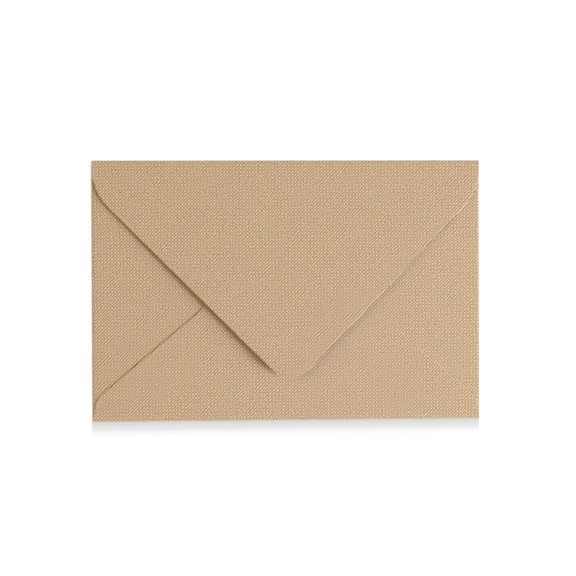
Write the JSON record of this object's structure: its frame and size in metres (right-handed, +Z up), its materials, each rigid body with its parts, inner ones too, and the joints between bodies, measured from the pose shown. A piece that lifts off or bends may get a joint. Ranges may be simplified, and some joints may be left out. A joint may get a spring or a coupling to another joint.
{
  "type": "paper envelope",
  "caption": "Kraft paper envelope of embossed sheet, flap side up: a deep pointed closing flap lies loose over a glued bottom flap and side flaps.",
  "frame": {"origin": "on the surface it lies on, under the middle of the envelope", "axes": "+X along the long side, +Y towards the fold of the closing flap, +Z up out of the flap side"},
  "size_m": [0.18, 0.12, 0.0043],
  "materials": {
    "kraft_paper": "uncoated, embossed with a fine woven grain"
  },
  "bodies": {
    "root": {"envelope": "kraft_paper"}
  },
  "joints": []
}
